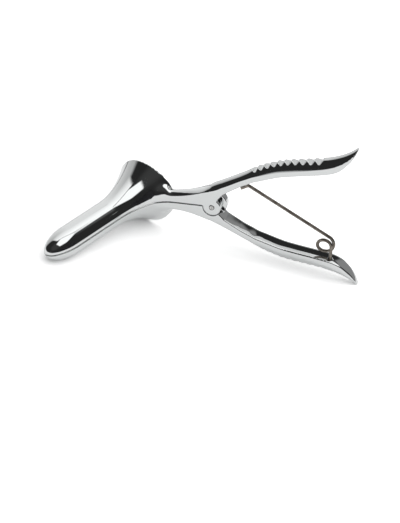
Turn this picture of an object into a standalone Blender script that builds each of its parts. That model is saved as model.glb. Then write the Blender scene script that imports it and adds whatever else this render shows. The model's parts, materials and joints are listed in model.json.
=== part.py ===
"""Anal speculum: two hinged half-blades with squeeze grips, a rivet and a wire return spring.

Lengths are in metres. The levers are drawn in a lever frame: the hinge runs along Y, the grips
point to +X, the upper lever lies above the parting plane Z = 0, and the lower lever mirrors it.
The blades turn off towards -Y. The finished instrument is then laid down as it rests on a table:
on the tip of the lower grip, the lowest edge of the flare and the nose of the lower blade.
"""
import math

import bmesh
import bpy
from mathutils import Matrix, Vector

MM = 0.001

# Fits
PARTING_GAP = 0.3 * MM      # between the closed halves
RUNNING_GAP = 0.3 * MM      # round the ears, the pin and the spring's seats

# Grips and necks
LEVER_WIDTH = 12.4 * MM     # across the flat sides, along the hinge
GRIP_LENGTH = 110.8 * MM    # hinge axis to grip tip, along X
GRIP_SPREAD = 60.2 * MM     # parting plane to grip tip, along Z
GRIP_DEPTH = 11.5 * MM      # crown to inner face where the grip is thickest
TIP_WIDTH = 3.2 * MM        # leaf-shaped end of the grip
HINGE_HEIGHT = 16.8 * MM    # parting plane to crown over the hinge
NECK_HEIGHT = 8.4 * MM      # parting plane to crown beside the flare
NECK_WIDTH = 8.8 * MM
NECK_TAPER = 30.0 * MM      # hinge axis to where the neck has reached its width
NECK_ROOT = 4.0 * MM        # end of the neck before the blade's near side
SHOULDER_TURN = math.radians(30)   # turn at which the arch of the back meets the flat side
FACE_CROWN = 0.7 * MM       # swell of the grip's inner face
FACE_CROWN_START = 20.0 * MM   # hinge axis to where the swell is full
EDGE_CHAMFER = 0.6 * MM
EDGE_SHARE = 0.25           # most that a chamfer takes of a thin section
TIP_ROUNDING = 0.022        # share of the grip's length in its rounded end
TIP_STEP = 0.45             # each station of the rounded end against the one before

# Grooves across the backs of the grips
GROOVE_COUNT = 10
GROOVE_START = 33.7 * MM    # hinge axis to the first groove
GROOVE_PITCH = 4.82 * MM    # first step, which grows towards the tip
GROOVE_GROWTH = 0.15 * MM
CREST_DROP = 0.1 * MM     # crests below the back of the grip

# Hinge
HINGE_DROP = 1.0 * MM       # axis below the parting plane
NEAR_EAR_RADIUS = 6.9 * MM  # round ear of the upper lever
FAR_EAR_RADIUS = 10.2 * MM  # round ear of the lower lever
PIN_RADIUS = 1.2 * MM
PIN_HEAD_RADIUS = 1.7 * MM
PIN_HEAD_THICKNESS = 0.9 * MM
PIN_HEAD_EDGE = 0.2 * MM    # chamfer round each head
PIN_PROUD = 0.1 * MM        # head above the flat of the lever
PIN_DIMPLE_RADIUS = 0.5 * MM
PIN_DIMPLE_DEPTH = 0.3 * MM

# Blades: a tube split along the parting plane, flared at its mouth
BLADE_ANGLE = math.radians(66.2)   # blades against the line of the neck
BLADE_OFFSET = 50.2 * MM    # hinge axis to the blade's near side, along the neck
BLADE_RADIUS = 11.4 * MM
BLADE_WALL = 1.4 * MM
BLADE_REACH = 97.5 * MM     # neck line to the nose
NOSE_LENGTH = 23.5 * MM
MOUTH_BACK = 8.0 * MM       # mouth behind the neck line
FLARE_RADIUS = 26.4 * MM
FLARE_LENGTH = 43.0 * MM
FLARE_SOFT = 1.85           # exponent of the flare on its far side
FLARE_TIGHT = 2.6           # exponent on the side of the neck
RIM_SWEEP = 6.0 * MM        # rim swept back beside the neck
RIM_SWEEP_SIDE = 2          # exponent that keeps the sweep on the side of the neck
RIM_SWEEP_REACH = 3         # exponent that keeps the sweep at the mouth
BORE_RUN_OUT = 25.0 * MM    # bore cutter beyond the mouth

# Return spring
WIRE_RADIUS = 1.15 * MM
COIL_RADIUS = 5.4 * MM
COIL_PLACE = 85.4 * MM      # hinge axis to coil centre, along X
COIL_RISE = 10.3 * MM       # coil centre above the inner face of the lower grip
COIL_PITCH = 3.1 * MM
LEG_STANDOFF = 2.2 * MM     # how far outside the coil the long leg leaves it
SPRING_SIDE = -0.6 * MM     # middle of the coil, along the hinge
FOOT_DEPTH = 1.6 * MM       # wire end sunk in the grip
FOOT_CLEARANCE = 0.5 * MM   # round the wire in its hole
FOOT_LEAN = 0.9 * MM        # foot set in from the side of the coil
HOOK_GAP = 0.7 * MM         # between the hook and the upper grip, taken up as the grips close
HOOK_PLACE = 27.6 * MM      # hinge axis to the top of the hook, along X
HOOK_SIDE = -2.0 * MM
HOOK_LENGTH = 5.2 * MM
HOOK_TURN = math.radians(62)
HOOK_BEND = 2.2 * MM
LEG_RISE_START = math.radians(270)   # turn of the coil where the long leg starts to rise

# Fineness of the curved surfaces
BAR_STATIONS = 46
ARCH_SEGMENTS = 12
FACE_SEGMENTS = 4
BLADE_RINGS = 22
BLADE_SEGMENTS = 20
FLARE_RING_SPREAD = 0.8     # rings lie closer at the mouth as this falls
NOSE_RING_INSET = 0.35      # share of a step by which the last ring stays off the point
TIP_STATIONS = 4
HOLE_SEGMENTS = 20
HOOK_STEPS = 4
ROUND_SEGMENTS = 40
COIL_STEP = math.radians(20)
SHARP_ANGLE = math.radians(35)
TRIM_DEPTH = 1.0 * MM       # stock below the parting plane before it is trimmed flat
CUTTER_MARGIN = 2.0 * MM
MERGE_DISTANCE = 0.01 * MM
SLOPE_STEP = 1.0 * MM       # length over which the slope of an outline is read
SETTLING_STEPS = 12         # tries at finding the three resting contacts

# Finishes
UPPER_COLOUR = (0.72, 0.72, 0.70)
LOWER_COLOUR = (0.70, 0.70, 0.68)
LEVER_ROUGHNESS = 0.08
PIN_COLOUR = (0.68, 0.68, 0.66)
PIN_ROUGHNESS = 0.15
WIRE_COLOUR = (0.23, 0.21, 0.19)
WIRE_ROUGHNESS = 0.35

# Crown of the grip: share of its length, share of the rise from hinge to tip
CROWN_LINE = [(0.0, 0.0), (0.117, 0.150), (0.247, 0.327), (0.311, 0.433), (0.395, 0.530),
              (0.485, 0.611), (0.587, 0.661), (0.704, 0.705), (0.807, 0.749), (0.873, 0.803),
              (0.938, 0.885), (1.0, 1.0)]
# Crown of the neck, with its rise into the flare: share of its length, share of the fall
NECK_LINE = [(0.0, 1.0), (0.08, 0.78), (0.30, 0.40), (0.53, 0.20), (0.75, 0.08), (1.0, 0.0),
             (1.06, 0.0), (1.11, 0.08), (1.16, 0.27), (1.20, 0.40)]
# Depth of the grip: share of its length, share of its greatest depth
DEPTH_LINE = [(0.081, 0.90), (0.14, 0.82), (0.211, 0.765), (0.282, 0.826), (0.351, 0.94),
              (0.489, 1.0), (0.625, 0.99), (0.758, 0.957), (0.857, 0.93), (0.890, 0.875),
              (0.922, 0.74), (0.955, 0.58), (0.981, 0.365), (1.0, 0.10)]
# Height of the flat side: share of the length from hinge to tip, share of the depth
SIDE_LINE = [(-0.42, 0.26), (-0.38, 0.36), (-0.338, 0.43), (-0.32, 0.49), (-0.306, 0.57),
             (-0.285, 0.64), (-0.25, 0.66), (-0.11, 0.88), (-0.06, 0.90), (0.0, 0.785),
             (0.06, 0.64), (0.12, 0.575), (0.24, 0.53), (0.32, 0.40), (0.47, 0.33), (0.60, 0.31),
             (0.76, 0.40), (0.87, 0.48), (1.0, 0.40)]
# Narrowing of the neck: share of its length, share of the narrowing
TAPER_LINE = [(0.0, 0.0), (0.5, 0.6), (1.0, 1.0)]
# Widening of the neck into the blade: share of the way to the blade, share of the lever's width
ROOT_LINE = [(0.60, 0.0), (0.685, 0.03), (0.77, 0.105), (0.83, 0.20), (0.875, 0.25), (0.92, 0.20)]
NOTCH_PLACE = DEPTH_LINE[0][0] * GRIP_LENGTH
LEAF_START = 0.80           # share of the grip where the leaf-shaped end begins

BLADE_AXIS = Vector((-math.cos(BLADE_ANGLE), -math.sin(BLADE_ANGLE), 0))
BLADE_NEAR = Vector((math.sin(BLADE_ANGLE), -math.cos(BLADE_ANGLE), 0))
BLADE_CORNER = Vector((-BLADE_OFFSET, -LEVER_WIDTH / 2, 0))
BORE_CENTRE = BLADE_CORNER - BLADE_RADIUS * BLADE_NEAR
BAR_END = NECK_ROOT - BLADE_OFFSET
NOSE_START = BLADE_REACH - NOSE_LENGTH

for leftover in list(bpy.data.objects):
    bpy.data.objects.remove(leftover)

parts = bpy.data.collections.new("anal_speculum")
tools = bpy.data.collections.new("cutters")
bpy.context.scene.collection.children.link(parts)
bpy.context.scene.collection.children.link(tools)


def smooth(points, place):
    """Height of a smooth line through the points at a place, held level beyond its ends."""
    if place <= points[0][0]:
        return points[0][1]
    if place >= points[-1][0]:
        return points[-1][1]
    count = len(points)
    slopes = []
    for index in range(count):
        before = points[max(index - 1, 0)]
        after = points[min(index + 1, count - 1)]
        slopes.append((after[1] - before[1]) / (after[0] - before[0]))
    index = max(i for i in range(count - 1) if points[i][0] <= place)
    start, end = points[index], points[index + 1]
    span = end[0] - start[0]
    t = (place - start[0]) / span
    return ((2 * t**3 - 3 * t**2 + 1) * start[1] + (t**3 - 2 * t**2 + t) * span * slopes[index]
            + (3 * t**2 - 2 * t**3) * end[1] + (t**3 - t**2) * span * slopes[index + 1])


def crown(x):
    """Height of the lever's back above the parting plane."""
    if x >= 0:
        return HINGE_HEIGHT + (GRIP_SPREAD - HINGE_HEIGHT) * smooth(CROWN_LINE, x / GRIP_LENGTH)
    return NECK_HEIGHT + (HINGE_HEIGHT - NECK_HEIGHT) * smooth(NECK_LINE, -x / NECK_TAPER)


def steepness(height, x):
    """Slope angle of an outline at x, whose height is given by a function."""
    rise = height(x + SLOPE_STEP) - height(x - SLOPE_STEP)
    return math.atan2(rise, 2 * SLOPE_STEP)


def inner(x):
    """Height of the lever's inner face above the parting plane."""
    notch = crown(NOTCH_PLACE) - GRIP_DEPTH * DEPTH_LINE[0][1]
    if x <= 0:
        return -TRIM_DEPTH
    if x < NOTCH_PLACE:
        return notch * x / NOTCH_PLACE
    return crown(x) - GRIP_DEPTH * smooth(DEPTH_LINE, x / GRIP_LENGTH)


def face_crown(x):
    """How far the inner face of the grip swells between its two edges."""
    share = (x - NOTCH_PLACE) / (FACE_CROWN_START - NOTCH_PLACE)
    swell = FACE_CROWN * min(max(share, 0), 1)
    return min(swell, EDGE_SHARE * (crown(x) - inner(x)))


def sides(x):
    """Near and far side of the lever along the hinge direction."""
    near, far = -LEVER_WIDTH / 2, LEVER_WIDTH / 2
    if x < 0:
        far -= (LEVER_WIDTH - NECK_WIDTH) * smooth(TAPER_LINE, -x / NECK_TAPER)
        near -= LEVER_WIDTH * smooth(ROOT_LINE, -x / BLADE_OFFSET)
    share = (x / GRIP_LENGTH - LEAF_START) / (1 - LEAF_START)
    if share > 0:
        end = TIP_WIDTH / LEVER_WIDTH
        keep = end + (1 - end) * math.sqrt(1 - min(share, 1)**2)
        near, far = near * keep, far * keep
    return near, far


def bar_section(x):
    """Closed outline of the bar at x: slightly swollen inner face, flat sides, arched back."""
    near, far = sides(x)
    low, top = inner(x), crown(x)
    floor = max(low, PARTING_GAP / 2)
    shoulder = floor + (top - floor) * smooth(SIDE_LINE, x / GRIP_LENGTH)
    chamfer = min(EDGE_CHAMFER, EDGE_SHARE * (top - low), EDGE_SHARE * (far - near))
    middle, half = (near + far) / 2, (far - near) / 2
    flat = half - chamfer
    outline = []
    for step in range(FACE_SEGMENTS + 1):
        across = 1 - 2 * step / FACE_SEGMENTS
        outline.append(Vector((x, middle + flat * across, low - face_crown(x) * (1 - across**2))))
    outline.append(Vector((x, near, low + chamfer)))
    crease = math.sin(SHOULDER_TURN)
    for step in range(ARCH_SEGMENTS + 1):
        angle = SHOULDER_TURN + (math.pi - 2 * SHOULDER_TURN) * step / ARCH_SEGMENTS
        across = math.cos(angle) / math.cos(SHOULDER_TURN)
        rise = (math.sin(angle) - crease) / (1 - crease)
        outline.append(Vector((x, middle - half * across, shoulder + (top - shoulder) * rise)))
    outline.append(Vector((x, far, low + chamfer)))
    return outline


def loft(name, rings, side):
    """Closed solid through rings of equal count; side -1 mirrors it through the parting plane."""
    mesh = bpy.data.meshes.new(name)
    shape = bmesh.new()
    loops = [[shape.verts.new((p.x, p.y, side * p.z)) for p in ring] for ring in rings]
    count = len(loops[0])
    for first, second in zip(loops, loops[1:]):
        for index in range(count):
            follow = (index + 1) % count
            shape.faces.new((first[index], first[follow], second[follow], second[index]))
    shape.faces.new(loops[0])
    shape.faces.new(loops[-1])
    bmesh.ops.recalc_face_normals(shape, faces=shape.faces)
    shape.to_mesh(mesh)
    shape.free()
    return bpy.data.objects.new(name, mesh)


def flare_radius(reach, exponent):
    """Outer radius of the blade tube at a reach from the neck line."""
    if reach > NOSE_START:
        share = (reach - NOSE_START) / NOSE_LENGTH
        return BLADE_RADIUS * math.sqrt(max(1 - share**2, 0))
    share = (FLARE_LENGTH - MOUTH_BACK - reach) / FLARE_LENGTH
    return BLADE_RADIUS + (FLARE_RADIUS - BLADE_RADIUS) * max(share, 0)**exponent


def blade_ring(reach, inset):
    """Half ring of the blade round its bore, closed below the parting plane."""
    outline = []
    share = max((FLARE_LENGTH - MOUTH_BACK - reach) / FLARE_LENGTH, 0)
    for step in range(BLADE_SEGMENTS + 1):
        turn = math.pi * step / BLADE_SEGMENTS
        lean = ((1 + math.cos(turn)) / 2)**2
        exponent = FLARE_SOFT + (FLARE_TIGHT - FLARE_SOFT) * lean
        radius = flare_radius(reach, exponent)
        if inset and reach <= NOSE_START:
            slope = (FLARE_RADIUS - BLADE_RADIUS) * exponent * share**(exponent - 1) / FLARE_LENGTH
            radius -= inset * math.sqrt(1 + slope**2)
        elif inset:
            radius *= 1 - inset / BLADE_RADIUS
        beside_neck = max(math.cos(turn), 0)**RIM_SWEEP_SIDE
        sweep = RIM_SWEEP * beside_neck * share**RIM_SWEEP_REACH
        centre = BORE_CENTRE + (reach - sweep) * BLADE_AXIS
        point = centre + radius * (math.cos(turn) * BLADE_NEAR + Vector((0, 0, math.sin(turn))))
        outline.append(point)
    outline.append(outline[-1] - Vector((0, 0, TRIM_DEPTH + inset)))
    outline.append(outline[0] - Vector((0, 0, TRIM_DEPTH + inset)))
    return outline


def blade_solid(name, side, inset=0.0):
    """Half of the flared tube as a solid; with an inset it is the bore, run out past the mouth."""
    reaches = []
    flare_rings = BLADE_RINGS // 2
    for step in range(flare_rings + 1):
        share = 1 - step / flare_rings
        reaches.append(-MOUTH_BACK + FLARE_LENGTH * (1 - share**FLARE_RING_SPREAD))
    reaches.append((reaches[-1] + NOSE_START) / 2)
    rings = [blade_ring(reach, inset) for reach in reaches]
    nose_rings = BLADE_RINGS - flare_rings
    for step in range(nose_rings):
        share = math.sin(math.pi / 2 * step / (nose_rings - NOSE_RING_INSET))
        shift = inset * share * BLADE_AXIS
        ring = blade_ring(NOSE_START + NOSE_LENGTH * share, inset)
        rings.append([point - shift for point in ring])
    if inset:
        run_out = BORE_RUN_OUT * BLADE_AXIS
        rings.insert(0, [point - run_out for point in rings[0]])
    return loft(name, rings, side)


def block(name, low, high):
    """Box between two corners."""
    low, high = Vector(low), Vector(high)
    mesh = bpy.data.meshes.new(name)
    shape = bmesh.new()
    place = Matrix.Translation((low + high) / 2) @ Matrix.Diagonal((*(high - low), 1))
    bmesh.ops.create_cube(shape, size=1.0, matrix=place)
    shape.to_mesh(mesh)
    shape.free()
    return bpy.data.objects.new(name, mesh)


def disc(name, radius, near, far):
    """Cylinder about the hinge axis, from its near to its far end."""
    mesh = bpy.data.meshes.new(name)
    shape = bmesh.new()
    place = Matrix.Translation((0, (near + far) / 2, -HINGE_DROP)) @ Matrix.Rotation(math.pi / 2, 4, 'X')
    bmesh.ops.create_cone(shape, cap_ends=True, segments=ROUND_SEGMENTS, radius1=radius,
                          radius2=radius, depth=far - near, matrix=place)
    shape.to_mesh(mesh)
    shape.free()
    return bpy.data.objects.new(name, mesh)


def groove_cutter(name, side):
    """Saw-toothed block that cuts the square grooves side by side across the back of the grip."""
    teeth, cover = [], []
    x = GROOVE_START
    for step in range(GROOVE_COUNT):
        pitch = GROOVE_PITCH + GROOVE_GROWTH * step
        depth = pitch / 2 + CREST_DROP
        slope = steepness(crown, x)
        along, out = Vector((math.cos(slope), 0, math.sin(slope))), Vector((-math.sin(slope), 0, math.cos(slope)))
        top = Vector((x, 0, crown(x)))
        if step == 0:
            teeth.append(top - (depth + CUTTER_MARGIN) * along + CUTTER_MARGIN * out)
        teeth.append(top - depth * out)
        cover.append(top + 2 * CUTTER_MARGIN * out)
        if step == GROOVE_COUNT - 1:
            teeth.append(top + (depth + CUTTER_MARGIN) * along + CUTTER_MARGIN * out)
        else:
            middle = x + pitch / 2
            teeth.append(Vector((middle, 0, crown(middle) - CREST_DROP)))
        x += pitch
    outline = teeth + cover[::-1]
    half = Vector((0, (LEVER_WIDTH + CUTTER_MARGIN) / 2, 0))
    return loft(name, [[point - half for point in outline], [point + half for point in outline]], side)


def polished_steel(name, colour, roughness):
    """Principled material of a bare metal."""
    material = bpy.data.materials.new(name)
    material.use_nodes = True
    shader = material.node_tree.nodes["Principled BSDF"]
    shader.inputs["Base Color"].default_value = (*colour, 1)
    shader.inputs["Metallic"].default_value = 1
    shader.inputs["Roughness"].default_value = roughness
    return material


def empty(name, parent=None, place=(0, 0, 0)):
    """Plain axes that carry other objects."""
    holder = bpy.data.objects.new(name, None)
    holder.parent = parent
    holder.location = place
    parts.objects.link(holder)
    return holder


def carve(target, cutter, operation):
    """Adds a Boolean with a hidden wire object that moves with the target."""
    tools.objects.link(cutter)
    cutter.parent = target
    cutter.hide_render = True
    cutter.display_type = 'WIRE'
    step = target.modifiers.new(cutter.name, 'BOOLEAN')
    step.operation = operation
    step.solver = 'EXACT'
    step.object = cutter


def lever(name, side, colour):
    """One forging: grip, neck and half-blade. Side is 1 for the upper lever and -1 for the lower."""
    tip_shares = [1 - TIP_ROUNDING * TIP_STEP**step for step in range(TIP_STATIONS)]
    stations = [BAR_END + (GRIP_LENGTH - BAR_END) * step / BAR_STATIONS for step in range(BAR_STATIONS)]
    stations = [x for x in stations if x < tip_shares[0] * GRIP_LENGTH]
    stations += [share * GRIP_LENGTH for share in tip_shares] + [GRIP_LENGTH]
    body = loft(name, [bar_section(x) for x in stations], side)
    parts.objects.link(body)
    body.data.materials.append(polished_steel(name + "_steel", colour, LEVER_ROUGHNESS))
    carve(body, blade_solid(name + "_blade", side), 'UNION')
    carve(body, blade_solid(name + "_bore", side, BLADE_WALL), 'DIFFERENCE')
    carve(body, parting_cutter(name + "_parting", side), 'DIFFERENCE')
    lap_joint(body, side)
    carve(body, groove_cutter(name + "_grooves", side), 'DIFFERENCE')
    body.data.set_sharp_from_angle(angle=SHARP_ANGLE)
    return body


def parting_cutter(name, side):
    """Block that trims a half flat along the parting plane, from the hinge to the nose."""
    reach = BLADE_REACH + FLARE_RADIUS + BLADE_OFFSET
    edge = side * PARTING_GAP / 2
    base = -side * (TRIM_DEPTH + BLADE_WALL + CUTTER_MARGIN)
    return block(name, (-reach, -reach, min(edge, base)), (0, reach, max(edge, base)))


def lap_joint(body, side):
    """Ear of one lever, pocket for the ear of the other, pin hole and seat of one rivet head."""
    middle = RUNNING_GAP / 2
    outside = LEVER_WIDTH / 2
    clear = outside + CUTTER_MARGIN
    near_half, far_half = (-outside, -middle), (middle, outside)
    if side > 0:
        ear_radius, ear_half = NEAR_EAR_RADIUS, near_half
        pocket_radius, pocket_half = FAR_EAR_RADIUS + RUNNING_GAP, (-middle, clear)
    else:
        ear_radius, ear_half = FAR_EAR_RADIUS, far_half
        pocket_radius, pocket_half = NEAR_EAR_RADIUS + RUNNING_GAP, (-clear, middle)
    carve(body, disc(body.name + "_ear", ear_radius, *ear_half), 'UNION')
    carve(body, disc(body.name + "_pocket", pocket_radius, *pocket_half), 'DIFFERENCE')
    carve(body, disc(body.name + "_pin_hole", PIN_RADIUS + RUNNING_GAP, -clear, clear), 'DIFFERENCE')
    seat = outside + PIN_PROUD - PIN_HEAD_THICKNESS - RUNNING_GAP
    head_half = sorted((-side * seat, -side * clear))
    carve(body, disc(body.name + "_head_seat", PIN_HEAD_RADIUS + RUNNING_GAP, *head_half), 'DIFFERENCE')


def pivot_pin():
    """Rivet with two flat heads, each sunk in its ear, turned about the hinge axis."""
    top = LEVER_WIDTH / 2 + PIN_PROUD
    under = top - PIN_HEAD_THICKNESS
    half = [(0, top - PIN_DIMPLE_DEPTH), (PIN_DIMPLE_RADIUS, top),
            (PIN_HEAD_RADIUS - PIN_HEAD_EDGE, top), (PIN_HEAD_RADIUS, top - PIN_HEAD_EDGE),
            (PIN_HEAD_RADIUS, under), (PIN_RADIUS, under)]
    profile = half + [(radius, -height) for radius, height in reversed(half)]
    mesh = bpy.data.meshes.new("pivot_pin")
    mesh.from_pydata([(radius, 0, height) for radius, height in profile],
                     [(index, index + 1) for index in range(len(profile) - 1)], [])
    pin = bpy.data.objects.new("pivot_pin", mesh)
    parts.objects.link(pin)
    turn = pin.modifiers.new("turned", 'SCREW')
    turn.steps = ROUND_SEGMENTS
    turn.render_steps = ROUND_SEGMENTS
    turn.use_merge_vertices = True
    turn.merge_threshold = MERGE_DISTANCE
    pin.data.materials.append(polished_steel("pin_steel", PIN_COLOUR, PIN_ROUGHNESS))
    pin.location = (0, 0, -HINGE_DROP)
    pin.rotation_euler = (math.pi / 2, 0, 0)
    return pin


def face_swell(x, side):
    """How far the swollen inner face stands out at a place across the grip."""
    near, far = sides(x)
    across = (side - (near + far) / 2) / ((far - near) / 2)
    return face_crown(x) * (1 - across**2)


def hook_point():
    """Top of the hook, seated under the inner face of the upper grip."""
    slope = steepness(inner, HOOK_PLACE)
    away = WIRE_RADIUS + HOOK_GAP + face_swell(HOOK_PLACE, HOOK_SIDE)
    height = inner(HOOK_PLACE) - away * math.cos(slope)
    return Vector((HOOK_PLACE + away * math.sin(slope), HOOK_SIDE, height))


def foot_point():
    """Where the foot passes the inner face of the lower grip."""
    x = COIL_PLACE + COIL_RADIUS - FOOT_LEAN
    side = SPRING_SIDE - COIL_PITCH / 2
    return Vector((x, side, face_swell(x, side) - inner(x)))


def foot_hole_cutter(name):
    """Hole for the wire's foot, drilled into the inner face of the lower grip."""
    mesh = bpy.data.meshes.new(name)
    shape = bmesh.new()
    depth = FOOT_DEPTH + RUNNING_GAP + FOOT_CLEARANCE + CUTTER_MARGIN
    radius = WIRE_RADIUS + FOOT_CLEARANCE
    middle = foot_point() + Vector((0, 0, CUTTER_MARGIN - depth / 2))
    bmesh.ops.create_cone(shape, cap_ends=True, segments=HOLE_SEGMENTS, radius1=radius, radius2=radius,
                          depth=depth, matrix=Matrix.Translation(middle))
    shape.to_mesh(mesh)
    shape.free()
    return bpy.data.objects.new(name, mesh)


def spring_route():
    """Points along the wire: foot, coil, long leg and hooked end."""
    centre = Vector((COIL_PLACE, SPRING_SIDE, COIL_RISE - inner(COIL_PLACE)))
    foot = foot_point()
    hook = hook_point()
    to_hook = hook - centre
    distance = math.hypot(to_hook.x, to_hook.z)
    leave_radius = COIL_RADIUS + LEG_STANDOFF
    leave = math.atan2(to_hook.z, to_hook.x) - math.acos(leave_radius / distance) + 2 * math.pi
    route = [foot - Vector((0, 0, FOOT_DEPTH)), foot]
    steps = math.ceil(leave / COIL_STEP)
    for step in range(steps + 1):
        turn = leave * step / steps
        side = COIL_PITCH * (turn / leave - 1 / 2)
        rise = max(turn - LEG_RISE_START, 0) / (leave - LEG_RISE_START)
        radius = COIL_RADIUS + LEG_STANDOFF * rise
        route.append(centre + Vector((radius * math.cos(turn), side, radius * math.sin(turn))))
    leg = (hook - route[-1]).normalized()
    heading = math.atan2(leg.z, leg.x)
    bend_start = hook - leg * HOOK_BEND * math.tan(HOOK_TURN / 2)
    route.append(bend_start)
    bend_centre = bend_start + HOOK_BEND * Vector((-math.sin(heading), 0, math.cos(heading)))
    for step in range(1, HOOK_STEPS + 1):
        turn = heading + HOOK_TURN * step / HOOK_STEPS
        route.append(bend_centre + HOOK_BEND * Vector((math.sin(turn), 0, -math.cos(turn))))
    last = heading + HOOK_TURN
    route.append(route[-1] + HOOK_LENGTH * Vector((math.cos(last), 0, math.sin(last))))
    return route


def return_spring():
    """One round wire along the spring's route."""
    curve = bpy.data.curves.new("return_spring", 'CURVE')
    curve.dimensions = '3D'
    curve.bevel_depth = WIRE_RADIUS
    curve.bevel_resolution = 2
    curve.use_fill_caps = True
    route = spring_route()
    spline = curve.splines.new('POLY')
    spline.points.add(len(route) - 1)
    for point, place in zip(spline.points, route):
        point.co = (*place, 1)
    wire = bpy.data.objects.new("return_spring", curve)
    parts.objects.link(wire)
    curve.materials.append(polished_steel("spring_wire", WIRE_COLOUR, WIRE_ROUGHNESS))
    return wire


def lever_frame_points(body):
    """Corners of a finished piece, in the frame that it is drawn in."""
    graph = bpy.context.evaluated_depsgraph_get()
    evaluated = body.evaluated_get(graph)
    mesh = evaluated.to_mesh()
    points = [evaluated.matrix_world @ vertex.co for vertex in mesh.vertices]
    evaluated.to_mesh_clear()
    return points


def resting_turn(points):
    """Rotation that lays the lower lever on its three contacts, with the blades towards -Y."""
    grip = [p for p in points if p.x > GRIP_LENGTH / 2]
    past_neck = [p for p in points if p.x < -BLADE_OFFSET / 2]
    flare = [p for p in past_neck if (p - BORE_CENTRE).dot(BLADE_AXIS) < MOUTH_BACK]
    nose = [p for p in past_neck if (p - BORE_CENTRE).dot(BLADE_AXIS) > BLADE_REACH / 2]
    up = Vector((0, 0, 1))
    for _ in range(SETTLING_STEPS):
        contacts = [min(group, key=lambda p: p.dot(up)) for group in (grip, flare, nose)]
        up = (contacts[1] - contacts[0]).cross(contacts[2] - contacts[0]).normalized()
        if up.z < 0:
            up.negate()
    back = -(BLADE_AXIS - up * BLADE_AXIS.dot(up)).normalized()
    right = back.cross(up)
    return Matrix((right, back, up)).to_4x4()


stand = empty("resting_frame")
hinge = empty("hinge_axis", stand, (0, 0, -HINGE_DROP))

upper = lever("upper_lever", 1, UPPER_COLOUR)
lower = lever("lower_lever", -1, LOWER_COLOUR)
carve(lower, foot_hole_cutter("lower_lever_foot_hole"), 'DIFFERENCE')
foot_axis = foot_point() - Vector((0, 0, FOOT_DEPTH / 2))
pin = pivot_pin()
spring = return_spring()

bpy.context.view_layer.update()
pieces = [upper, lower, pin, spring]
lower_points = lever_frame_points(lower)
turn = resting_turn(lower_points)
all_points = [turn @ point for piece in pieces for point in lever_frame_points(piece)]
low = Vector([min(p[axis] for p in all_points) for axis in range(3)])
high = Vector([max(p[axis] for p in all_points) for axis in range(3)])
stand.matrix_world = Matrix.Translation((-(low.x + high.x) / 2, -(low.y + high.y) / 2, -low.z)) @ turn

upper.parent = hinge
upper.location = (0, 0, HINGE_DROP)
lower.parent = stand
pin.parent = stand
spring_pivot = empty("spring_foot_axis", stand, foot_axis)
spring.parent = spring_pivot
spring.location = -foot_axis
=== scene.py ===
import json
import math

import bmesh
import bpy
from mathutils import Matrix, Vector


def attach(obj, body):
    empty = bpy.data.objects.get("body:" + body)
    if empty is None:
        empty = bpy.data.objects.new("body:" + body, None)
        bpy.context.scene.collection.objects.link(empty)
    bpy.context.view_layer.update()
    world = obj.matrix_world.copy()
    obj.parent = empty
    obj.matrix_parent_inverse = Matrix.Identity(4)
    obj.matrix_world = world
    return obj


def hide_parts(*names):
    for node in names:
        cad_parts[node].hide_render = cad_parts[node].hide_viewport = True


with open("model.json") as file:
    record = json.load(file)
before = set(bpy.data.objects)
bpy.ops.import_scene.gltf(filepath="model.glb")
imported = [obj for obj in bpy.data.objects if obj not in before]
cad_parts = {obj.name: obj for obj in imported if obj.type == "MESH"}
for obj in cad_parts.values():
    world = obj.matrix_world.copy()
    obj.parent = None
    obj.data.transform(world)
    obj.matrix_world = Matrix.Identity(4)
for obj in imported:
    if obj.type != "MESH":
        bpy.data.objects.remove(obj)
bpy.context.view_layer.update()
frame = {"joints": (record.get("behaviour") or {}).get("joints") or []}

MM = 0.001

# Fits
PARTING_GAP = 0.3 * MM
RUNNING_GAP = 0.3 * MM

# Grips and necks
LEVER_WIDTH = 12.4 * MM
GRIP_LENGTH = 110.8 * MM
GRIP_SPREAD = 60.2 * MM
GRIP_DEPTH = 11.5 * MM
TIP_WIDTH = 3.2 * MM
HINGE_HEIGHT = 16.8 * MM
NECK_HEIGHT = 8.4 * MM
NECK_WIDTH = 8.8 * MM
NECK_TAPER = 30.0 * MM
NECK_ROOT = 4.0 * MM
SHOULDER_TURN = math.radians(30)
FACE_CROWN = 0.7 * MM
FACE_CROWN_START = 20.0 * MM
EDGE_CHAMFER = 0.6 * MM
EDGE_SHARE = 0.25
LEAF_START = 0.80

# Grooves across the backs of the grips
GROOVE_COUNT = 10
GROOVE_START = 33.7 * MM
GROOVE_PITCH = 4.82 * MM
GROOVE_GROWTH = 0.15 * MM
CREST_DROP = 0.1 * MM
GROOVE_END = GROOVE_START + (GROOVE_COUNT - 1) * (GROOVE_PITCH + GROOVE_GROWTH * (GROOVE_COUNT / 2 - 1))

# Hinge
HINGE_DROP = 1.0 * MM
NEAR_EAR_RADIUS = 6.9 * MM
FAR_EAR_RADIUS = 10.2 * MM
PIN_RADIUS = 1.2 * MM
PIN_HEAD_RADIUS = 1.7 * MM
PIN_HEAD_THICKNESS = 0.9 * MM
PIN_PROUD = 0.1 * MM
PIN_EDGE = 0.25 * MM
PIN_DIMPLE_RADIUS = 0.55 * MM
PIN_DIMPLE_DEPTH = 0.3 * MM

# Blades
BLADE_ANGLE = math.radians(66.2)
BLADE_OFFSET = 50.2 * MM
BLADE_RADIUS = 11.4 * MM
BLADE_WALL = 1.4 * MM
BLADE_REACH = 97.5 * MM
NOSE_LENGTH = 23.5 * MM
MOUTH_BACK = 8.0 * MM
FLARE_RADIUS = 26.4 * MM
FLARE_LENGTH = 43.0 * MM
FLARE_SOFT = 1.85
FLARE_TIGHT = 2.6
RIM_SWEEP = 6.0 * MM
RIM_SWEEP_SIDE = 2
RIM_SWEEP_REACH = 3
BORE_RUN_OUT = 25.0 * MM

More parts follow.
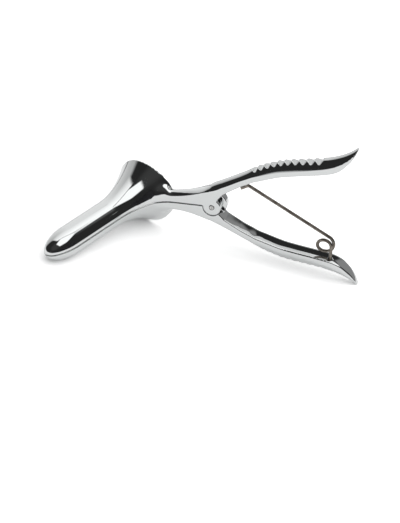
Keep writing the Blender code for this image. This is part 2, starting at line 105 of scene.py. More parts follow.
# Return spring
WIRE_RADIUS = 1.25 * MM
COIL_RADIUS = 5.4 * MM
COIL_PLACE = 85.4 * MM
COIL_RISE = 10.3 * MM
COIL_PITCH = 3.1 * MM
LEG_STANDOFF = 2.2 * MM
SPRING_SIDE = -0.6 * MM
FOOT_DEPTH = 1.6 * MM
FOOT_CLEARANCE = 0.4 * MM
FOOT_LEAN = 0.9 * MM
HOOK_GAP = 0.6 * MM
HOOK_PLACE = 27.6 * MM
HOOK_SIDE = -2.0 * MM
HOOK_LENGTH = 5.2 * MM
HOOK_TURN = math.radians(62)
HOOK_BEND = 2.2 * MM
LEG_RISE_START = math.radians(270)

# Fineness
BAR_STATIONS = 420
ARCH_SEGMENTS = 40
FACE_SEGMENTS = 16
BLADE_RINGS = 90
BLADE_SEGMENTS = 90
END_FACE_START = 0.9995     # share of the grip's length where its tip closes to a narrow face
NOSE_LAST_STEP = 0.65       # from the last ring of the nose to its point, in steps between rings
ROUND_SEGMENTS = 96
TURNING_STEPS = 6           # along each small curve of the rivet's head
TRIM_DEPTH = 1.0 * MM
CUTTER_MARGIN = 2.0 * MM
SLOPE_STEP = 1.0 * MM
SKIN_STEP = 0.50 * MM       # size of the faces of a polished surface
SKIN_RELAXING = 3           # rounds of smoothing, which take the steps out of the skin
ROOT_PLACE = Vector((-41.5, -5.5, 9.6)) * MM   # where the neck is blended into the flare
ROOT_REACH = 9.5 * MM
ROOT_BLENDING = 160         # rounds of smoothing there
COIL_STEP = math.radians(6)
HOOK_STEPS = 12
WIRE_ROUNDNESS = 8
SHARP_ANGLE = math.radians(40)
MERGE_DISTANCE = 0.001 * MM

# Finishes
BUFFING_WAVE = 16.0 * MM    # between the waves that hand buffing leaves
BUFFING_HEIGHT = 0.02 * MM
BUFFING_TURN = math.radians(30)
STREAK_LENGTH = 12.0 * MM   # of the buffing streaks; real ones are finer than a render shows
STREAK_WIDTH = STREAK_LENGTH / 14
GRINDING_GRIT = 0.3 * MM    # between grinding marks, drawn coarser than real ones so that they show
HEAT_PATCH = 4.0 * MM       # across the patches of heat colour on the wire

# Crown of the grip: share of its length, share of the rise from hinge to tip
CROWN_LINE = [(0.0, 0.0), (0.117, 0.150), (0.247, 0.327), (0.311, 0.433), (0.395, 0.530),
              (0.485, 0.611), (0.587, 0.661), (0.704, 0.705), (0.807, 0.749), (0.873, 0.803),
              (0.938, 0.885), (1.0, 1.0)]
# Crown of the neck, with its rise into the flare: share of its length, share of the fall
NECK_LINE = [(0.0, 1.0), (0.08, 0.78), (0.30, 0.40), (0.53, 0.20), (0.75, 0.08), (1.0, 0.0),
             (1.06, 0.0), (1.11, 0.08), (1.16, 0.27), (1.20, 0.40)]
# Depth of the grip: share of its length, share of its greatest depth
DEPTH_LINE = [(0.081, 0.90), (0.14, 0.82), (0.211, 0.765), (0.282, 0.826), (0.351, 0.94),
              (0.489, 1.0), (0.625, 0.99), (0.758, 0.957), (0.857, 0.93), (0.890, 0.875),
              (0.922, 0.74), (0.955, 0.58), (0.981, 0.365), (1.0, 0.10)]
# Height of the flat side: share of the length from hinge to tip, share of the depth
SIDE_LINE = [(-0.42, 0.26), (-0.38, 0.36), (-0.338, 0.43), (-0.32, 0.49), (-0.306, 0.57),
             (-0.285, 0.64), (-0.25, 0.66), (-0.11, 0.88), (-0.06, 0.90), (0.0, 0.785),
             (0.06, 0.64), (0.12, 0.575), (0.24, 0.53), (0.32, 0.40), (0.47, 0.33), (0.60, 0.31),
             (0.76, 0.40), (0.87, 0.48), (1.0, 0.40)]
# Narrowing of the neck: share of its length, share of the narrowing
TAPER_LINE = [(0.0, 0.0), (0.5, 0.6), (1.0, 1.0)]
# Widening of the neck into the blade: share of the way to the blade, share of the lever's width
ROOT_LINE = [(0.60, 0.0), (0.685, 0.03), (0.77, 0.105), (0.83, 0.20), (0.875, 0.25), (0.92, 0.20)]
NOTCH_PLACE = DEPTH_LINE[0][0] * GRIP_LENGTH

# Directions and places that follow from the sizes
BLADE_AXIS = Vector((-math.cos(BLADE_ANGLE), -math.sin(BLADE_ANGLE), 0))
BLADE_NEAR = Vector((math.sin(BLADE_ANGLE), -math.cos(BLADE_ANGLE), 0))
BLADE_CORNER = Vector((-BLADE_OFFSET, -LEVER_WIDTH / 2, 0))
BORE_CENTRE = BLADE_CORNER - BLADE_RADIUS * BLADE_NEAR
BAR_END = NECK_ROOT - BLADE_OFFSET
NOSE_START = BLADE_REACH - NOSE_LENGTH

# Camera
CAMERA_PLACE = Vector((454.29, -664.11, 529.93)) * MM
CAMERA_AZIMUTH = math.radians(34.035)
CAMERA_ELEVATION = math.radians(33.113)
CAMERA_ROLL = math.radians(10.661)
CAMERA_LENS = 88.5          # mm, on the long side of a 36 mm frame
CLIP_NEAR = 0.01
CLIP_FAR = 20.0

# Table and lamps
TABLE_REACH = 2.0
TABLE_WHITE = 1.33          # of the table for the camera, which keeps only the near shadows
TABLE_NEAR = 0.15           # where the painted shade on the table starts, seen only in the polish
# where the painted shade on the table is full
TABLE_FAR = 1.2
WORLD_LIGHT = 0.46          # of the flat light on matt surfaces
KEY_LIGHT = 1.9
KEY_WIDTH = math.radians(100)
KEY_FROM = Vector((0.45, 0.15, 1.0))

# Cards seen only in the polish
FLAG_NEAR = Vector((0.26, -0.21, 0))
FLAG_FAR = Vector((0.26, 0.06, 0))
FLAG_HEIGHT = 0.16
CARD_LIGHT = 0.80           # of the white card held behind the grooves
CARD_BEARING = math.radians(-15)
CARD_ELEVATION = math.radians(36)
CARD_AWAY = 0.07
CARD_HALF_WIDTH = 0.075
CARD_HALF_HEIGHT = 0.018

# Room seen only in the polish
ROOM_LIGHT = 0.026          # of the dark room
ROOM_GLOW = 0.055           # of its lighter part, behind the camera
ROOM_GLOW_FROM = Vector((0.335, -0.580, 0.743))
ROOM_GLOW_START = 0.80      # cosine of the angle from that direction where the glow starts
LOWEST_RISE = 0.001         # of a ray, so that the ceiling's coordinates stay finite
GAP_BEARING = math.radians(28)
GAP_LINE = Vector((math.cos(GAP_BEARING), -math.sin(GAP_BEARING), 0))   # across the dark gap
SLANT_LINE = Vector((1.0, 1.27, 0))         # across the slanting edge of the right panel
CORNER_LINE = Vector((0.883, 0.531, 0))     # across its cut corner

# Edges of the white panels and walls: where each edge starts and where it is full
RIGHT_PANEL = {"foot": (0.02, 0.10), "gap": (0.012, 0.034), "slant": (1.06, 0.90),
               "right": (1.06, 0.86), "corner": (-0.135, -0.08), "near": (-0.55, -0.45),
               "far": (0.49, 0.43)}
LEFT_PANEL = {"foot": (0.02, 0.10), "gap": (-0.010, -0.030), "near": (-0.33, -0.22),
              "far": (0.62, 0.50), "left": (-2.6, -1.9)}
FAR_PANEL = {"foot": (0.02, 0.10), "right": (0.43, 0.35), "near": (0.43, 0.45),
             "far": (0.62, 0.50), "left": (-0.2, 0.0)}
LEFT_WALL = {"from": (-112, -98), "to": (-36, -48)}
LOW_WALL = {"from": (-60, -50), "to": (-4, -12), "top": (0.42, 0.34)}
BACK_WALL = {"from": (-14, 0), "to": (56, 38), "top": (0.86, 0.76)}
PANEL_LIGHT = 1.4
LEFT_FADE = (-1.3, 0.0)     # along the left panel, from its dim end to its full light
LEFT_DIM = 0.6
WALL_FADE = (-95, -58)      # along the left wall
WALL_DIM = 0.6
WALL_LIGHT = 1.0
LOW_LIGHT = 0.50
BACK_LIGHT = 0.30


def smooth(points, place):
    """Height of a smooth line through the points at a place, held level beyond its ends."""
    if place <= points[0][0]:
        return points[0][1]
    if place >= points[-1][0]:
        return points[-1][1]
    count = len(points)
    slopes = []
    for index in range(count):
        before = points[max(index - 1, 0)]
        after = points[min(index + 1, count - 1)]
        slopes.append((after[1] - before[1]) / (after[0] - before[0]))
    index = max(i for i in range(count - 1) if points[i][0] <= place)
    start, end = points[index], points[index + 1]
    span = end[0] - start[0]
    t = (place - start[0]) / span
    leave, arrive = span * slopes[index], span * slopes[index + 1]
    return ((2 * t**3 - 3 * t**2 + 1) * start[1] + (t**3 - 2 * t**2 + t) * leave
            + (3 * t**2 - 2 * t**3) * end[1] + (t**3 - t**2) * arrive)


def crown(x):
    """Height of the lever's back above the parting plane."""
    if x >= 0:
        return HINGE_HEIGHT + (GRIP_SPREAD - HINGE_HEIGHT) * smooth(CROWN_LINE, x / GRIP_LENGTH)
    return NECK_HEIGHT + (HINGE_HEIGHT - NECK_HEIGHT) * smooth(NECK_LINE, -x / NECK_TAPER)


def steepness(height, x):
    """Slope angle of an outline at x, whose height is given by a function."""
    rise = height(x + SLOPE_STEP) - height(x - SLOPE_STEP)
    return math.atan2(rise, 2 * SLOPE_STEP)


def inner(x):
    """Height of the lever's inner face above the parting plane."""
    notch = crown(NOTCH_PLACE) - GRIP_DEPTH * DEPTH_LINE[0][1]
    if x <= 0:
        return -TRIM_DEPTH
    if x < NOTCH_PLACE:
        return notch * x / NOTCH_PLACE
    return crown(x) - GRIP_DEPTH * smooth(DEPTH_LINE, x / GRIP_LENGTH)


def face_crown(x):
    """How far the inner face of the grip swells between its two edges."""
    share = (x - NOTCH_PLACE) / (FACE_CROWN_START - NOTCH_PLACE)
    swell = FACE_CROWN * min(max(share, 0), 1)
    return min(swell, EDGE_SHARE * (crown(x) - inner(x)))


def sides(x):
    """Near and far side of the lever along the hinge direction."""
    near, far = -LEVER_WIDTH / 2, LEVER_WIDTH / 2
    if x < 0:
        far -= (LEVER_WIDTH - NECK_WIDTH) * smooth(TAPER_LINE, -x / NECK_TAPER)
        near -= LEVER_WIDTH * smooth(ROOT_LINE, -x / BLADE_OFFSET)
    share = (x / GRIP_LENGTH - LEAF_START) / (1 - LEAF_START)
    if share > 0:
        end = TIP_WIDTH / LEVER_WIDTH
        keep = end + (1 - end) * math.sqrt(1 - min(share, 1)**2)
        near, far = near * keep, far * keep
    return near, far


def bar_section(x):
    """Closed outline of the bar at x: slightly swollen inner face, flat sides, arched back."""
    near, far = sides(x)
    low, top = inner(x), crown(x)
    floor = max(low, PARTING_GAP / 2)
    shoulder = floor + (top - floor) * smooth(SIDE_LINE, x / GRIP_LENGTH)
    chamfer = min(EDGE_CHAMFER, EDGE_SHARE * (top - low), EDGE_SHARE * (far - near))
    middle, half = (near + far) / 2, (far - near) / 2
    flat = half - chamfer
    outline = []
    for step in range(FACE_SEGMENTS + 1):
        across = 1 - 2 * step / FACE_SEGMENTS
        outline.append(Vector((x, middle + flat * across, low - face_crown(x) * (1 - across**2))))
    outline.append(Vector((x, near, low + chamfer)))
    crease = math.sin(SHOULDER_TURN)
    for step in range(ARCH_SEGMENTS + 1):
        angle = SHOULDER_TURN + (math.pi - 2 * SHOULDER_TURN) * step / ARCH_SEGMENTS
        across = math.cos(angle) / math.cos(SHOULDER_TURN)
        rise = (math.sin(angle) - crease) / (1 - crease)
        outline.append(Vector((x, middle - half * across, shoulder + (top - shoulder) * rise)))
    outline.append(Vector((x, far, low + chamfer)))
    return outline


def loft(name, rings, side):
    """Closed solid through rings of equal count; side -1 mirrors it through the parting plane."""
    mesh = bpy.data.meshes.new(name)
    shape = bmesh.new()
    loops = [[shape.verts.new((p.x, p.y, side * p.z)) for p in ring] for ring in rings]
    count = len(loops[0])
    for first, second in zip(loops, loops[1:]):
        for index in range(count):
            follow = (index + 1) % count
            shape.faces.new((first[index], first[follow], second[follow], second[index]))
    shape.faces.new(loops[0])
    shape.faces.new(loops[-1])
    bmesh.ops.recalc_face_normals(shape, faces=shape.faces)
    shape.to_mesh(mesh)
    shape.free()
    return bpy.data.objects.new(name, mesh)


def flare_radius(reach, exponent):
    """Outer radius of the blade tube at a reach from the neck line."""
    if reach > NOSE_START:
        share = (reach - NOSE_START) / NOSE_LENGTH
        return BLADE_RADIUS * math.sqrt(max(1 - share**2, 0))
    share = (FLARE_LENGTH - MOUTH_BACK - reach) / FLARE_LENGTH
    return BLADE_RADIUS + (FLARE_RADIUS - BLADE_RADIUS) * max(share, 0)**exponent


def blade_ring(reach, inset):
    """Half ring of the blade round its bore, closed below the parting plane."""
    outline = []
    share = max((FLARE_LENGTH - MOUTH_BACK - reach) / FLARE_LENGTH, 0)
    for step in range(BLADE_SEGMENTS + 1):
        turn = math.pi * step / BLADE_SEGMENTS
        lean = ((1 + math.cos(turn)) / 2)**2
        exponent = FLARE_SOFT + (FLARE_TIGHT - FLARE_SOFT) * lean
        radius = flare_radius(reach, exponent)
        if inset and reach <= NOSE_START:
            slope = (FLARE_RADIUS - BLADE_RADIUS) * exponent * share**(exponent - 1) / FLARE_LENGTH
            radius -= inset * math.sqrt(1 + slope**2)
        elif inset:
            radius *= 1 - inset / BLADE_RADIUS
        beside_neck = max(math.cos(turn), 0)**RIM_SWEEP_SIDE
        sweep = RIM_SWEEP * beside_neck * share**RIM_SWEEP_REACH
        centre = BORE_CENTRE + (reach - sweep) * BLADE_AXIS
        point = centre + radius * (math.cos(turn) * BLADE_NEAR + Vector((0, 0, math.sin(turn))))
        outline.append(point)
    outline.append(outline[-1] - Vector((0, 0, TRIM_DEPTH + inset)))
    outline.append(outline[0] - Vector((0, 0, TRIM_DEPTH + inset)))
    return outline


def blade_solid(name, side, inset=0.0):
    """Half of the flared tube as a solid; with an inset it is the bore, run out past the mouth."""
    reaches = []
    flare_rings = BLADE_RINGS // 2
    for step in range(flare_rings + 1):
        reaches.append(-MOUTH_BACK + FLARE_LENGTH * step / flare_rings)
    straight_rings = BLADE_RINGS // 4
    for step in range(1, straight_rings):
        share = step / straight_rings
        reaches.append(reaches[flare_rings] * (1 - share) + NOSE_START * share)
    rings = [blade_ring(reach, inset) for reach in reaches]
    nose_rings = BLADE_RINGS // 2
    for step in range(nose_rings):
        share = math.sin(math.pi / 2 * step / (nose_rings - 1 + NOSE_LAST_STEP))
        shift = inset * share * BLADE_AXIS
        ring = blade_ring(NOSE_START + NOSE_LENGTH * share, inset)
        rings.append([point - shift for point in ring])
    if inset:
        run_out = BORE_RUN_OUT * BLADE_AXIS
        rings.insert(0, [point - run_out for point in rings[0]])
    return loft(name, rings, side)


def block(name, low, high):
    """Box between two corners."""
    low, high = Vector(low), Vector(high)
    mesh = bpy.data.meshes.new(name)
    shape = bmesh.new()
    place = Matrix.Translation((low + high) / 2) @ Matrix.Diagonal((*(high - low), 1))
    bmesh.ops.create_cube(shape, size=1.0, matrix=place)
    shape.to_mesh(mesh)
    shape.free()
    return bpy.data.objects.new(name, mesh)


def cylinder(name, radius, depth, place):
    """Cylinder about its own Z axis, moved by a matrix."""
    mesh = bpy.data.meshes.new(name)
    shape = bmesh.new()
    bmesh.ops.create_cone(shape, cap_ends=True, segments=ROUND_SEGMENTS, radius1=radius,
                          radius2=radius, depth=depth, matrix=place)
    shape.to_mesh(mesh)
    shape.free()
    return bpy.data.objects.new(name, mesh)


def disc(name, radius, near, far):
    """Cylinder about the hinge axis, from its near to its far end."""
    place = Matrix.Translation((0, (near + far) / 2, -HINGE_DROP)) @ Matrix.Rotation(math.pi / 2, 4, 'X')
    return cylinder(name, radius, far - near, place)


def groove_cutter(name, side):
    """Saw-toothed block that cuts right-angled grooves side by side across the back of the grip."""
    teeth, cover = [], []
    x = GROOVE_START
    for step in range(GROOVE_COUNT):
        pitch = GROOVE_PITCH + GROOVE_GROWTH * step
        depth = pitch / 2 + CREST_DROP
        slope = steepness(crown, x)
        along = Vector((math.cos(slope), 0, math.sin(slope)))
        out = Vector((-math.sin(slope), 0, math.cos(slope)))
        top = Vector((x, 0, crown(x)))
        if step == 0:
            teeth.append(top - (depth + CUTTER_MARGIN) * along + CUTTER_MARGIN * out)
        teeth.append(top - depth * out)
        cover.append(top + 2 * CUTTER_MARGIN * out)
        if step == GROOVE_COUNT - 1:
            teeth.append(top + (depth + CUTTER_MARGIN) * along + CUTTER_MARGIN * out)
        else:
            middle = x + pitch / 2
            teeth.append(Vector((middle, 0, crown(middle) - CREST_DROP)))
        x += pitch
    outline = teeth + cover[::-1]
    half = Vector((0, (LEVER_WIDTH + CUTTER_MARGIN) / 2, 0))
    return loft(name, [[point - half for point in outline], [point + half for point in outline]], side)


def link(piece):
    """Puts an object in the scene."""
    bpy.context.scene.collection.objects.link(piece)
    return piece


def apply_modifiers(piece):
    """Gives an object the mesh that its modifiers make, and clears them."""
    graph = bpy.context.evaluated_depsgraph_get()
    piece.data = bpy.data.meshes.new_from_object(piece.evaluated_get(graph))
    piece.modifiers.clear()


def combine(body, tool, operation):
    """Joins a closed tool to a closed body, or cuts it out, and removes the tool."""
    link(tool)
    step = body.modifiers.new(tool.name, 'BOOLEAN')
    step.operation = operation
    step.solver = 'MANIFOLD'
    step.object = tool
    apply_modifiers(body)
    bpy.data.objects.remove(tool)


def lap_joint(body, side):
    """Ear of one lever, pocket for the ear of the other, pin hole and seat of one rivet head."""
    middle = RUNNING_GAP / 2
    outside = LEVER_WIDTH / 2
    clear = outside + CUTTER_MARGIN
    near_half, far_half = (-outside, -middle), (middle, outside)
    if side > 0:
        ear_radius, ear_half = NEAR_EAR_RADIUS, near_half
        pocket_radius, pocket_half = FAR_EAR_RADIUS + RUNNING_GAP, (-middle, clear)
    else:
        ear_radius, ear_half = FAR_EAR_RADIUS, far_half
        pocket_radius, pocket_half = NEAR_EAR_RADIUS + RUNNING_GAP, (-clear, middle)
    combine(body, disc("ear", ear_radius, *ear_half), 'UNION')
    combine(body, disc("pocket", pocket_radius, *pocket_half), 'DIFFERENCE')
    combine(body, disc("pin_hole", PIN_RADIUS + RUNNING_GAP, -clear, clear), 'DIFFERENCE')
    seat = outside + PIN_PROUD - PIN_HEAD_THICKNESS - RUNNING_GAP
    head_half = sorted((-side * seat, -side * clear))
    combine(body, disc("head_seat", PIN_HEAD_RADIUS + RUNNING_GAP, *head_half), 'DIFFERENCE')


def parting_cutter(side):
    """Block that trims a half flat along the parting plane, from the hinge to the nose."""
    reach = BLADE_REACH + FLARE_RADIUS + BLADE_OFFSET
    edge = side * PARTING_GAP / 2
    base = -side * (TRIM_DEPTH + BLADE_WALL + CUTTER_MARGIN)
    return block("parting", (-reach, -reach, min(edge, base)), (0, reach, max(edge, base)))


def face_swell(x, side):
    """How far the swollen inner face stands out at a place across the grip."""
    near, far = sides(x)
    across = (side - (near + far) / 2) / ((far - near) / 2)
    return face_crown(x) * (1 - across**2)


def hook_point():
    """Top of the spring's hook, seated under the inner face of the upper grip."""
    slope = steepness(inner, HOOK_PLACE)
    away = WIRE_RADIUS + HOOK_GAP + face_swell(HOOK_PLACE, HOOK_SIDE)
    height = inner(HOOK_PLACE) - away * math.cos(slope)
    return Vector((HOOK_PLACE + away * math.sin(slope), HOOK_SIDE, height))


def foot_point():
    """Where the spring's foot passes the inner face of the lower grip."""
    x = COIL_PLACE + COIL_RADIUS - FOOT_LEAN
    side = SPRING_SIDE - COIL_PITCH / 2
    return Vector((x, side, face_swell(x, side) - inner(x)))


def spring_route():
    """Points along the wire: foot, coil, long leg and hooked end."""
    centre = Vector((COIL_PLACE, SPRING_SIDE, COIL_RISE - inner(COIL_PLACE)))
    foot = foot_point()
    hook = hook_point()
    to_hook = hook - centre
    distance = math.hypot(to_hook.x, to_hook.z)
    leave_radius = COIL_RADIUS + LEG_STANDOFF
    leave = math.atan2(to_hook.z, to_hook.x) - math.acos(leave_radius / distance) + 2 * math.pi
    route = [foot - Vector((0, 0, FOOT_DEPTH)), foot]
    steps = math.ceil(leave / COIL_STEP)
    for step in range(steps + 1):
        turn = leave * step / steps
        side = COIL_PITCH * (turn / leave - 1 / 2)
        rise = max(turn - LEG_RISE_START, 0) / (leave - LEG_RISE_START)
        radius = COIL_RADIUS + LEG_STANDOFF * rise
        route.append(centre + Vector((radius * math.cos(turn), side, radius * math.sin(turn))))
    leg = (hook - route[-1]).normalized()
    heading = math.atan2(leg.z, leg.x)
    bend_start = hook - leg * HOOK_BEND * math.tan(HOOK_TURN / 2)
    route.append(bend_start)
    bend_centre = bend_start + HOOK_BEND * Vector((-math.sin(heading), 0, math.cos(heading)))
    for step in range(1, HOOK_STEPS + 1):
        turn = heading + HOOK_TURN * step / HOOK_STEPS
        route.append(bend_centre + HOOK_BEND * Vector((math.sin(turn), 0, -math.cos(turn))))
    last = heading + HOOK_TURN
    route.append(route[-1] + HOOK_LENGTH * Vector((math.cos(last), 0, math.sin(last))))
    return route


def bent_wire(to_part):
    """Return spring as one smooth round wire."""
    curve = bpy.data.curves.new("return_spring_wire", 'CURVE')
    curve.dimensions = '3D'
    curve.bevel_depth = WIRE_RADIUS
    curve.bevel_resolution = WIRE_ROUNDNESS
    curve.use_fill_caps = True
    route = spring_route()
    spline = curve.splines.new('POLY')
    spline.points.add(len(route) - 1)
    for point, place in zip(spline.points, route):
        point.co = (*(to_part @ place), 1)
    spline.use_smooth = True
    return link(bpy.data.objects.new("return_spring_wire", curve))


def turned_rivet():
    """Rivet with two heads sunk in the ears, each with a rounded edge and a centre dimple."""
    top = LEVER_WIDTH / 2 + PIN_PROUD
    half = [(0, top - PIN_DIMPLE_DEPTH)]
    for step in range(1, TURNING_STEPS + 1):
        share = step / TURNING_STEPS
        half.append((PIN_DIMPLE_RADIUS * share, top - PIN_DIMPLE_DEPTH * (1 - share**2)))
    for step in range(TURNING_STEPS + 1):
        turn = math.pi / 2 * step / TURNING_STEPS
        radius = PIN_HEAD_RADIUS - PIN_EDGE * (1 - math.sin(turn))
        half.append((radius, top - PIN_EDGE * (1 - math.cos(turn))))
    half += [(PIN_HEAD_RADIUS, top - PIN_HEAD_THICKNESS), (PIN_RADIUS, top - PIN_HEAD_THICKNESS)]
    profile = half + [(radius, -height) for radius, height in reversed(half)]
    mesh = bpy.data.meshes.new("turned_rivet")
    shape = bmesh.new()
    corners = [shape.verts.new((radius, height, -HINGE_DROP)) for radius, height in profile]
    edges = [shape.edges.new(pair) for pair in zip(corners, corners[1:])]
    bmesh.ops.spin(shape, geom=corners + edges, cent=(0, 0, -HINGE_DROP), axis=(0, 1, 0),
                   angle=2 * math.pi, steps=ROUND_SEGMENTS, use_merge=True)
    bmesh.ops.remove_doubles(shape, verts=shape.verts, dist=MERGE_DISTANCE)
    bmesh.ops.recalc_face_normals(shape, faces=shape.faces)
    shape.to_mesh(mesh)
    shape.free()
    mesh.shade_smooth()
    mesh.set_sharp_from_angle(angle=SHARP_ANGLE)
    return link(bpy.data.objects.new("turned_rivet", mesh))


def forged_lever(name, side):
    """One lever as a closed solid, in the frame of the levers."""
    last = GRIP_LENGTH * END_FACE_START
    stations = [BAR_END + (last - BAR_END) * step / BAR_STATIONS for step in range(BAR_STATIONS + 1)]
    stations.append(GRIP_LENGTH)
    body = link(loft(name, [bar_section(x) for x in stations], side))
    combine(body, blade_solid("blade", side), 'UNION')
    combine(body, blade_solid("bore", side, BLADE_WALL), 'DIFFERENCE')
    combine(body, parting_cutter(side), 'DIFFERENCE')
    lap_joint(body, side)
    combine(body, groove_cutter("grooves", side), 'DIFFERENCE')
    if side < 0:
        depth = FOOT_DEPTH + RUNNING_GAP + FOOT_CLEARANCE + CUTTER_MARGIN
        place = Matrix.Translation(foot_point() + Vector((0, 0, CUTTER_MARGIN - depth / 2)))
        combine(body, cylinder("foot_hole", WIRE_RADIUS + FOOT_CLEARANCE, depth, place), 'DIFFERENCE')
    return body


def polish(body, side):
    """Gives a lever an even skin of small faces, and blends the root of its neck into the flare."""
    skin = body.modifiers.new("skin", 'REMESH')
    skin.mode = 'VOXEL'
    skin.voxel_size = SKIN_STEP
    skin.use_smooth_shade = True
    relax = body.modifiers.new("relax", 'SMOOTH')
    relax.iterations = SKIN_RELAXING
    apply_modifiers(body)
    root = body.vertex_groups.new(name="root")
    middle = Vector((ROOT_PLACE.x, ROOT_PLACE.y, side * ROOT_PLACE.z))
    for vertex in body.data.vertices:
        share = 1 - (vertex.co - middle).length / ROOT_REACH
        if share > 0:
            root.add([vertex.index], min(2 * share, 1), 'REPLACE')
    blend = body.modifiers.new("blend", 'SMOOTH')
    blend.vertex_group = root.name
    blend.iterations = ROOT_BLENDING
    apply_modifiers(body)
    body.vertex_groups.clear()


def joint_place(name):
    """Point and direction of a joint's axis in the part's frame."""
    joint = next(j for j in frame["joints"] if j["name"] == name)
    return Vector(joint["pos_m"]), Vector(joint["axis"]).normalized()


def square_axes(along, line):
    """Matrix of three square directions, from the hinge line and the way to a second point."""
    first = (along - along.dot(line) * line).normalized()
    return Matrix((first, line, first.cross(line))).transposed()


def lever_frame():
    """Matrix from the frame of the levers to the part's frame, read from the two joints."""
    hinge, hinge_line = joint_place("blade_hinge")
    foot, _ = joint_place("spring_foot")
    drawn_hinge = Vector((0, 0, -HINGE_DROP))
    drawn_foot = foot_point() - Vector((0, 0, FOOT_DEPTH / 2))
    drawn_axes = square_axes(drawn_foot - drawn_hinge, Vector((0, 1, 0)))
    turn = square_axes(foot - hinge, hinge_line) @ drawn_axes.transposed()
    return Matrix.Translation(hinge - turn @ drawn_hinge) @ turn.to_4x4()


def linear(colour):
    """Linear colour, with alpha, of an sRGB hex value."""
    shares = [int(colour[start:start + 2], 16) / 255 for start in (1, 3, 5)]
    return (*[s / 12.92 if s <= 0.04045 else ((s + 0.055) / 1.055)**2.4 for s in shares], 1.0)


def add_node(tree, kind, settings=None, inputs=None):
    """Adds a node; settings are its own values, inputs are socket values or sockets to link."""
    node = tree.nodes.new(kind)
    for name, value in (settings or {}).items():
        setattr(node, name, value)
    for name, value in (inputs or {}).items():
        if isinstance(value, bpy.types.NodeSocket):
            tree.links.new(value, node.inputs[name])
        else:
            node.inputs[name].default_value = value
    return node


def new_material(name):
    """Empty node material and its tree."""
    material = bpy.data.materials.new(name)
    material.use_nodes = True
    material.node_tree.nodes.clear()
    return material, material.node_tree


def mirror_polished_stainless():
    """Stainless steel buffed to a mirror.

    The eye sees the room in it, bent a little by the waves that hand buffing leaves, and faint
    streaks of the last compound along the lever.
    """
    material, tree = new_material("mirror_polished_stainless")
    place = add_node(tree, "ShaderNodeTexCoord").outputs["Object"]
    along = add_node(tree, "ShaderNodeMapping", {"vector_type": 'POINT'}, {
        "Vector": place, "Rotation": (0, 0, BUFFING_TURN),
        "Scale": (1 / STREAK_LENGTH, 1 / STREAK_WIDTH, 1 / STREAK_WIDTH)}).outputs["Vector"]
    waves = add_node(tree, "ShaderNodeTexNoise", inputs={
        "Vector": place, "Scale": 1 / BUFFING_WAVE, "Detail": 1.0}).outputs["Fac"]
    streaks = add_node(tree, "ShaderNodeTexNoise", inputs={
        "Vector": along, "Scale": 1.0, "Detail": 3.0}).outputs["Fac"]
    roughness = add_node(tree, "ShaderNodeMapRange", inputs={
        "Value": streaks, "From Min": 0.35, "From Max": 0.70, "To Min": 0.035,
        "To Max": 0.085}).outputs["Result"]
    bump = add_node(tree, "ShaderNodeBump", inputs={
        "Height": waves, "Strength": 1.0, "Distance": BUFFING_HEIGHT}).outputs["Normal"]
    shader = add_node(tree, "ShaderNodeBsdfPrincipled", inputs={
        "Base Color": linear("#D8DADA"), "Metallic": 1.0, "Roughness": roughness, "Normal": bump})
    add_node(tree, "ShaderNodeOutputMaterial", inputs={"Surface": shader.outputs["BSDF"]})
    return material


def ground_rivet_steel():
    """Stainless rivet, hammered down and ground flush.

    The eye sees a small satin disc in the polish, greyer than the levers.
    """
    material, tree = new_material("ground_rivet_steel")
    place = add_node(tree, "ShaderNodeTexCoord").outputs["Object"]
    grit = add_node(tree, "ShaderNodeTexNoise", inputs={
        "Vector": place, "Scale": 1 / GRINDING_GRIT, "Detail": 2.0}).outputs["Fac"]
    roughness = add_node(tree, "ShaderNodeMapRange", inputs={
        "Value": grit, "To Min": 0.18, "To Max": 0.34}).outputs["Result"]
    shader = add_node(tree, "ShaderNodeBsdfPrincipled", inputs={
        "Base Color": linear("#C4C3C1"), "Metallic": 1.0, "Roughness": roughness})
    add_node(tree, "ShaderNodeOutputMaterial", inputs={"Surface": shader.outputs["BSDF"]})
    return material


def drawn_spring_steel():
    """Hard-drawn spring wire, heat-treated after bending and not polished.

    The eye sees a dull grey-brown metal with darker patches of heat colour.
    """
    material, tree = new_material("drawn_spring_steel")
    place = add_node(tree, "ShaderNodeTexCoord").outputs["Object"]
    patches = add_node(tree, "ShaderNodeTexNoise", inputs={
        "Vector": place, "Scale": 1 / HEAT_PATCH, "Detail": 2.0}).outputs["Fac"]
    heat = add_node(tree, "ShaderNodeMapRange", inputs={
        "Value": patches, "From Min": 0.35, "From Max": 0.65}).outputs["Result"]
    colour = add_node(tree, "ShaderNodeMix", {"data_type": 'RGBA'}, {
        "Factor": heat, 6: linear("#958E86"), 7: linear("#716A62")}).outputs[2]
    roughness = add_node(tree, "ShaderNodeMapRange", inputs={
        "Value": heat, "To Min": 0.32, "To Max": 0.44}).outputs["Result"]
    shader = add_node(tree, "ShaderNodeBsdfPrincipled", inputs={
        "Base Color": colour, "Metallic": 1.0, "Roughness": roughness})
    add_node(tree, "ShaderNodeOutputMaterial", inputs={"Surface": shader.outputs["BSDF"]})
    return material


def place_camera():
    """Camera at the photograph's angle."""
    data = bpy.data.cameras.new("camera")
    data.lens = CAMERA_LENS
    data.clip_start = CLIP_NEAR
    data.clip_end = CLIP_FAR
    camera = link(bpy.data.objects.new("camera", data))
    turn = (Matrix.Rotation(CAMERA_AZIMUTH, 4, 'Z')
            @ Matrix.Rotation(math.pi / 2 - CAMERA_ELEVATION, 4, 'X')
            @ Matrix.Rotation(CAMERA_ROLL, 4, 'Z'))
    camera.matrix_world = Matrix.Translation(CAMERA_PLACE) @ turn
    bpy.context.scene.camera = camera


